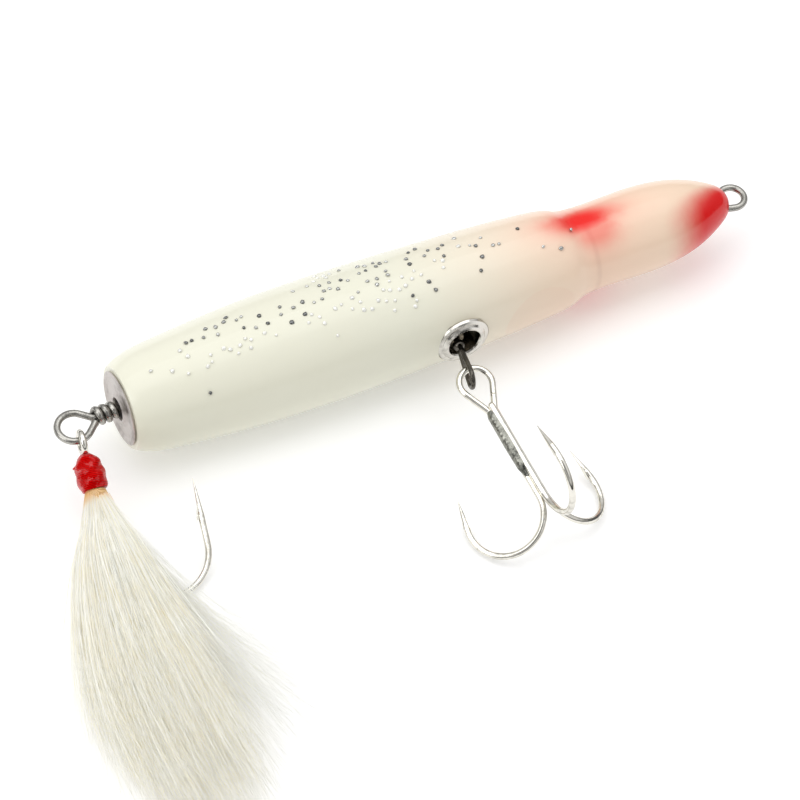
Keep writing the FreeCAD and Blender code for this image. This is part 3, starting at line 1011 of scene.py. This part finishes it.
@dataclass
class ThreadBulb:
    """The bulb of thread that binds the hair: many turns over a lumpy core, and one loose end."""

    lure: LureFrame
    shank: Shank = Shank()
    core: tuple[tuple[float, float], ...] = (
        (2.5, 1.1),
        (3.2, 2.0),
        (4.3, 2.6),
        (5.6, 2.95),
        (7.0, 3.28),
        (8.2, 3.34),
        (9.3, 3.1),
        (10.1, 2.85),
        (10.7, 2.6),
    )
    pitch: float = 0.30
    thread_depth: float = 0.05
    lump: float = 0.24
    rows: int = 330
    sides: int = 112
    tag_radius: float = 0.2

    def bulb(self) -> tuple[np.ndarray, np.ndarray]:
        """Returns the bulb's rings and the height of its ridges.

        The radius is the core's, plus slow waves for lumps, plus a ridge that climbs a pitch with each
        turn. Two layers cross: the outer one runs the other way at a steeper angle and shows where the slow
        wave is high.
        """
        distance = np.linspace(self.core[0][0], self.core[-1][0], self.rows)
        angle = np.arange(self.sides) * FULL_TURN / self.sides
        core = np.array(self.core)
        base = smooth_through(core[:, 0], core[:, 1], distance)[:, None]
        along, turn = distance[:, None], angle[None]
        slow = np.sin(1.3 * along + 2 * turn + 0.6) * 0.5 + np.sin(2.1 * along - 3 * turn) * 0.5
        under = np.abs(np.cos(math.pi * (along / self.pitch - turn / FULL_TURN)))
        over = np.abs(np.cos(math.pi * (along / (self.pitch * 1.4) + 3 * turn / FULL_TURN)))
        share = np.clip(0.5 + slow * 1.6, 0, 1)
        ridge = under * (1 - share) + over * share
        taper = np.clip((distance - distance[0]) / 0.8, 0, 1)[:, None]
        radius = base + self.lump * slow * taper + self.thread_depth * (ridge - 0.5)
        return self.shank.turned(distance, radius, angle), ridge

    def loose_end(self) -> np.ndarray:
        """Returns the rings of the thread's cut end, which leaves the bulb's upper left and curls down."""
        down, side, third = self.shank.axes()
        start = np.array(self.shank.eye) + down * 4.0
        t = np.linspace(0, 1, 12)[:, None]
        path = start - side * (0.8 + 2.5 * t) + third * (0.5 - 0.9 * t * t) + down * (0.3 * t + 0.8 * t * t)
        radii = np.full((1, len(t)), self.tag_radius)
        return tube_rings(path[None], radii, 8)

    def build(self) -> bpy.types.Object:
        """Builds the bulb and its loose end as one piece, in place of the CAD wrap."""
        rings, ridge = self.bulb()
        points, faces = stacked_rings(rings)
        end_points, end_faces = stacked_rings(self.loose_end())
        joined = faces + [[index + len(points) for index in face] for face in end_faces]
        tones = np.concatenate([ridge.ravel(), np.full(len(end_points), 0.8)])
        piece = new_piece(
            "thread_bulb",
            Body.DRESSED_HOOK,
            Slot.THREAD,
            VarnishedThread(),
            self.lure.place(np.concatenate([points, end_points])),
            joined,
            {"ridge": tones},
        )
        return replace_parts(piece, "thread_wrap")


@dataclass
class CementCollar:
    """The collar of cemented hair butts below the thread."""

    lure: LureFrame
    shank: Shank = Shank()
    profile: tuple[tuple[float, float], ...] = (
        (10.6, 1.6),
        (10.9, 2.15),
        (11.6, 2.42),
        (12.6, 2.5),
        (13.6, 2.2),
        (14.2, 1.3),
    )
    butts: int = 34
    depth: float = 0.12
    rows: int = 40
    sides: int = 136

    def build(self) -> bpy.types.Object:
        """Builds the collar in place of the CAD one.

        The radius is the profile's plus one ridge for each butt, whose place wavers a little along the shank.
        """
        profile = np.array(self.profile)
        distance = np.linspace(profile[0, 0], profile[-1, 0], self.rows)
        angle = np.arange(self.sides) * FULL_TURN / self.sides
        base = smooth_through(profile[:, 0], profile[:, 1], distance)[:, None]
        waver = 0.12 * np.sin(2.2 * distance)[:, None] + 0.35 * np.sin(3 * angle)[None]
        ridge = 0.5 + 0.5 * np.cos(self.butts * (angle[None] + waver))
        rings = self.shank.turned(distance, base + self.depth * (ridge - 0.5), angle)
        points, faces = stacked_rings(rings)
        piece = new_piece(
            "cement_collar",
            Body.DRESSED_HOOK,
            Slot.CEMENT,
            AmberCement(),
            self.lure.place(points),
            faces,
            {"ridge": ridge},
        )
        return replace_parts(piece, "tie_cement")


@dataclass
class HairBunch:
    """One tied bunch of tail hair, as fine tapering strands gathered into locks.

    Attributes:
        lure: the lure's frame.
        name: the name of its pieces.
        node: the CAD bunch that it stands for.
        ovals: the bunch's outline as rows of distance square to the body, place along it, height, half
            width and half height.
        strands: the strands in one piece.
        pieces: the pieces.
        locks: the locks that the strands gather into.
        seed: the seed of its random draws.
        steps: the points along a strand.
        strand_radius: a strand's usual radius.
        tip_share: the share of its radius that a strand keeps at its tip.
        flare: how far the outer tips spread sideways.
        fullness: the power that fills the oval, lower for more strands near its edge.
        drift: how far a strand wanders, as a share of the oval.
        gather: how strongly a strand closes on its lock.
        stray: how far tips stray.
        table_gap: the least height above the table.
    """

    lure: LureFrame
    name: str
    node: str
    ovals: tuple[tuple[float, float, float, float, float], ...]
    seed: int
    strands: int = 2500
    pieces: int = 2
    locks: int = 90
    steps: int = 11
    strand_radius: float = 0.085
    tip_share: float = 0.25
    flare: float = 1.2
    fullness: float = 0.62
    drift: float = 0.26
    gather: float = 0.42
    stray: float = 1.5
    table_gap: float = 0.12

    def centre_lines(self, rng: np.random.Generator) -> tuple[np.ndarray, np.ndarray]:
        """Draws the strands' centre lines.

        A strand keeps its place in the bunch's oval, drifts towards its lock as it runs out, and wavers
        with it. Its tip strays a little to one side.

        Args:
            rng: the source of random draws.

        Returns:
            The points, as strands by steps by three, and how far along its bunch each point lies, from 0 to
            1.
        """
        ovals = np.array(self.ovals)
        count = self.strands
        turn, reach = rng.uniform(0, FULL_TURN, count), rng.uniform(0, 1, count) ** self.fullness
        place = np.stack([np.cos(turn), np.sin(turn)], axis=-1) * reach[:, None]
        drift = rng.normal(0, self.drift, (count, 2))
        lock_turn, lock_reach = rng.uniform(0, FULL_TURN, self.locks), np.sqrt(rng.uniform(0, 1, self.locks))
        lock = np.stack([np.cos(lock_turn), np.sin(lock_turn)], axis=-1) * lock_reach[:, None]
        owner = np.linalg.norm(place[:, None] - lock[None], axis=-1).argmin(axis=1)
        start, end = ovals[0, 0], ovals[-1, 0]
        length = rng.uniform(0.66, 0.97, self.locks)[owner] * rng.uniform(0.66, 1.03, count)
        length = length * (1.04 - 0.16 * reach**2)
        step = np.linspace(0, 1, self.steps) ** 0.85
        share = step[None] * length[:, None]
        distance = start + (end - start) * share
        pull = (self.gather * step**1.2)[None]
        phase = rng.uniform(0, FULL_TURN, (self.locks, 2))[owner]
        waver = 0.16 * step[None] * np.sin(phase[:, :1] + 4.2 * share)
        lift = 0.14 * step[None] * np.sin(phase[:, 1:] + 3.6 * share)
        gathered = lock[owner]
        across = place[:, :1] + (gathered[:, :1] - place[:, :1]) * pull + waver + drift[:, :1] * step[None]
        height = place[:, 1:] + (gathered[:, 1:] - place[:, 1:]) * pull + lift + drift[:, 1:] * step[None]
        stray = rng.normal(0, self.stray, (count, 2))
        stray = stray * (1 + 1.6 * (rng.uniform(0, 1, (count, 1)) > 0.86))
        frizz = 0.10 * np.sin(rng.uniform(0, FULL_TURN, (count, 1)) + 14 * share)
        columns = [smooth_through(ovals[:, 0], ovals[:, column], distance) for column in range(1, 5)]
        flare = self.flare * place[:, :1] * step[None] ** 3
        x = columns[0] + columns[2] * across + flare + stray[:, :1] * step[None] ** 3
        x = x + frizz * step[None]
        z = columns[1] + columns[3] * height + stray[:, 1:] * 0.4 * step[None] ** 3
        points = np.stack([x, -distance, np.maximum(z, self.table_gap + self.strand_radius)], axis=-1)
        return points, share

    def build(self) -> Iterable[bpy.types.Object]:
        """Builds the pieces, in place of the CAD bunch."""
        for number in range(self.pieces):
            rng = np.random.default_rng(self.seed + number)
            paths, share = self.centre_lines(rng)
            step = np.linspace(0, 1, self.steps)[None]
            width = rng.uniform(0.7, 1.15, (self.strands, 1)) * self.strand_radius
            radii = width * (1 - (1 - self.tip_share) * step**2.2)
            points, faces = stacked_rings(tube_rings(paths, radii, 3))
            tone = np.repeat(rng.uniform(0, 1, self.strands), self.steps * 3)
            piece = new_piece(
                f"{self.name}_{number + 1}",
                Body.DRESSED_HOOK,
                Slot.HAIR,
                DeerHair(),
                self.lure.place(points),
                faces,
                {"tone": tone, "along": np.repeat(share.ravel(), 3)},
            )
            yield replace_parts(piece, self.node)


@dataclass
class LooseWisps:
    """Fine white hairs that fan out of the bunch beside the hook's point."""

    lure: LureFrame
    shank: Shank = Shank()
    strands: int = 430
    steps: int = 14
    radius: float = 0.042
    seed: int = 71
    table_gap: float = 0.15

    def build(self) -> bpy.types.Object:
        """Builds the wisps.

        Each is a bent curve from the tie over a knee at the bunch's edge to a tip out on the table, with a
        small wave across it.
        """
        rng = np.random.default_rng(self.seed)
        count = self.strands
        tie = np.array([-11.6, -16.4, 9.2]) + rng.normal(0, 0.7, (count, 3))
        knee = np.stack(
            [rng.normal(-7.0, 2.4, count), rng.normal(-48.0, 8.0, count), rng.uniform(1.5, 9.0, count)],
            axis=-1,
        )
        fan = rng.beta(1.3, 2.2, count)
        tip = np.stack(
            [-5.0 + 25.0 * fan, rng.normal(-84.0, 7.0, count) + 15.0 * fan, rng.uniform(0.4, 7.0, count)],
            axis=-1,
        )
        t = np.linspace(0, 1, self.steps)[None, :, None]
        paths = (1 - t) ** 2 * tie[:, None] + 2 * t * (1 - t) * knee[:, None] + t**2 * tip[:, None]
        phase = rng.uniform(0, FULL_TURN, (count, 1))
        swing = rng.uniform(0.15, 0.7, (count, 1))
        wave = swing * np.sin(phase + rng.uniform(6, 13, (count, 1)) * t[..., 0]) * t[..., 0]
        paths[..., 0] += wave
        paths[..., 2] = np.maximum(paths[..., 2], self.table_gap)
        radii = self.radius * (1 - 0.7 * t[..., 0] ** 2) * rng.uniform(0.7, 1.2, (count, 1))
        points, faces = stacked_rings(tube_rings(paths, radii, 3))
        share = np.broadcast_to(t[..., 0], (count, self.steps))
        return new_piece(
            "hair_wisps",
            Body.DRESSED_HOOK,
            Slot.HAIR,
            DeerHair("fine_hair", warm=shade(240, 241, 240), grey=shade(222, 225, 228), glow=0.06),
            self.lure.place(points),
            faces,
            {
                "tone": np.repeat(rng.uniform(0, 0.8, count), self.steps * 3),
                "along": np.repeat(share.ravel(), 3),
            },
        )


@dataclass
class DressedHook:
    """The ringed tail hook with its thread, cement and two bunches of hair."""

    lure: LureFrame
    plating: BrightMetal = BrightMetal()
    left: tuple[tuple[float, float, float, float, float], ...] = (
        (14.4, -12.2, 10.2, 1.7, 1.6),
        (18.3, -13.4, 8.6, 2.3, 2.3),
        (28.0, -16.8, 7.2, 5.2, 4.9),
        (42.0, -20.0, 6.2, 7.4, 5.6),
        (60.0, -22.6, 5.6, 8.4, 5.2),
        (80.0, -22.6, 4.6, 7.8, 4.2),
        (104.0, -20.6, 2.8, 6.2, 2.4),
    )
    right: tuple[tuple[float, float, float, float, float], ...] = (
        (14.4, -11.9, 10.2, 1.7, 1.6),
        (18.3, -11.8, 8.6, 2.3, 2.3),
        (28.0, -12.4, 7.2, 4.4, 4.9),
        (42.0, -13.2, 6.2, 6.0, 5.6),
        (60.0, -13.6, 5.6, 7.2, 5.2),
        (80.0, -13.6, 4.6, 7.6, 4.2),
        (104.0, -12.4, 2.8, 7.0, 2.4),
    )

    def build(self) -> Iterable[bpy.types.Object]:
        """Dresses the hook and builds what is tied to it."""
        yield dress("tail_hook", self.plating)
        yield ThreadBulb(self.lure).build()
        yield CementCollar(self.lure).build()
        yield from HairBunch(self.lure, "hair_left", "bucktail_left", self.left, 21).build()
        yield from HairBunch(self.lure, "hair_right", "bucktail_right", self.right, 41).build()
        yield LooseWisps(self.lure).build()


# --------------------------------------------------------------------------------------------------
# The studio
# --------------------------------------------------------------------------------------------------


@dataclass(frozen=True)
class SoftBox:
    """A rectangular soft light aimed at a point of the lure.

    Attributes:
        name: its name.
        place: where it stands, in the lure's frame.
        aim: what it points at.
        width: its width.
        depth: its other side.
        power: its power in watts.
    """

    name: str
    place: tuple[float, float, float]
    aim: tuple[float, float, float]
    width: float
    depth: float
    power: float


@dataclass
class Studio:
    """The table, the soft lights and the camera."""

    lure: LureFrame
    table_side: float = 6000.0
    azimuth: float = -32.64
    elevation: float = 54.18
    roll: float = 8.04
    distance: float = 838.78
    target: tuple[float, float, float] = (59.28, -19.16, 10.0)
    lens: float = 171.26
    boxes: tuple[SoftBox, ...] = (
        SoftBox("key_box", (60.0, 150.0, 720.0), (60.0, 0.0, 10.0), 1200.0, 640.0, 2.5),
        SoftBox("side_box", (-620.0, -60.0, 420.0), (20.0, -20.0, 10.0), 420.0, 420.0, 1.1),
    )
    tent: tuple[tuple[float, float], ...] = ((0.0, 0.05), (0.16, 0.12), (0.34, 0.66), (1.0, 0.98))
    opening: tuple[float, float, float] = (-0.32, -0.50, 0.80)
    opening_edge: tuple[float, float] = (0.86, 0.95)
    opening_depth: float = 0.7

    def table(self) -> bpy.types.Object:
        """Builds the table top, one square level with the object's foot."""
        half = self.table_side / 2
        corners = np.array([[-half, -half, 0.0], [half, -half, 0.0], [half, half, 0.0], [-half, half, 0.0]])
        mesh = bpy.data.meshes.new("table_top")
        mesh.from_pydata(self.lure.place(corners).tolist(), [], [[0, 1, 2, 3]])
        mesh.materials.append(TableTop().material())
        top = bpy.data.objects.new("table_top", mesh)
        bpy.context.scene.collection.objects.link(top)
        return top

    def light(self, box: SoftBox) -> bpy.types.Object:
        """Builds one soft box."""
        data = bpy.data.lights.new(box.name, "AREA")
        data.shape = "RECTANGLE"
        data.size, data.size_y = box.width * MM, box.depth * MM
        data.energy = box.power
        lamp = bpy.data.objects.new(box.name, data)
        place = Vector(self.lure.place(np.array(box.place)))
        lamp.location = place
        towards = Vector(self.lure.place(np.array(box.aim))) - place
        lamp.rotation_euler = towards.to_track_quat("-Z", "Y").to_euler()
        bpy.context.scene.collection.objects.link(lamp)
        return lamp

    def surroundings(self) -> None:
        """Sets a white tent with a dark opening, darker at the horizon, and plain white behind the object."""
        world = bpy.data.worlds.new("tent")
        bpy.context.scene.world = world
        recipe = Recipe(world)
        direction = recipe.add("ShaderNodeTexCoord", output="Generated")
        height = recipe.parts(direction)[2]
        stops = [(place, (level, level, level, 1.0)) for place, level in self.tent]
        sky = recipe.add("ShaderNodeValToRGB", {"stops": stops}, {"Fac": height}, "Color")
        facing = recipe.add(
            "ShaderNodeVectorMath", {"operation": "DOT_PRODUCT"}, {0: direction, 1: self.opening}, "Value"
        )
        sky = recipe.mix(facing.eased(*self.opening_edge) * self.opening_depth, sky, (0.02, 0.02, 0.02, 1.0))
        seen = recipe.add("ShaderNodeLightPath", output="Is Camera Ray")
        shown = recipe.mix(seen, sky, (1.0, 1.0, 1.0, 1.0))
        light = recipe.add("ShaderNodeBackground", None, {"Color": shown})
        recipe.add("ShaderNodeOutputWorld", None, {"Surface": light})

    def camera(self) -> bpy.types.Object:
        """Builds the camera, which looks back along its azimuth and elevation and rolls about that line."""
        turn, rise, roll = (math.radians(angle) for angle in (self.azimuth, self.elevation, self.roll))
        back = np.array([math.sin(turn) * math.cos(rise), -math.cos(turn) * math.cos(rise), math.sin(rise)])
        level = np.array([math.cos(turn), math.sin(turn), 0.0])
        upright = np.cross(back, level)
        right = level * math.cos(roll) + upright * math.sin(roll)
        up = upright * math.cos(roll) - level * math.sin(roll)
        place = self.lure.place(np.array(self.target) + back * self.distance)
        matrix = np.eye(4)
        matrix[:3, 0], matrix[:3, 1], matrix[:3, 2], matrix[:3, 3] = right, up, back, place
        data = bpy.data.cameras.new("camera")
        data.lens = self.lens
        data.sensor_width = 36.0
        eye = bpy.data.objects.new("camera", data)
        eye.matrix_world = Matrix(matrix.tolist())
        bpy.context.scene.collection.objects.link(eye)
        bpy.context.scene.camera = eye
        return eye

    def build(self) -> Iterable[bpy.types.Object]:
        """Builds the table, lights, surroundings and camera, and sets plain display colours."""
        yield self.table()
        for box in self.boxes:
            yield self.light(box)
        self.surroundings()
        yield self.camera()
        settings = bpy.context.scene.view_settings
        settings.view_transform = "Standard"
        settings.look = "None"


def write_sizes() -> None:
    """Brings the scene's transforms up to date."""
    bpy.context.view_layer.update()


def main() -> None:
    """Builds the lure and the studio in order and reports each piece."""
    logging.basicConfig(level=logging.INFO, format="%(name)s: %(message)s")
    lure = LureFrame.from_cad()
    for part in (PaintedBody(lure), Hardware(lure), BellyTackle(), DressedHook(lure), Studio(lure)):
        for piece in part.build():
            faces = len(piece.data.polygons) if piece.type == "MESH" else 0
            LOG.info("%s: %s, %d faces", type(part).__name__, piece.name, faces)
    write_sizes()


if __name__ == "__main__":
    main()
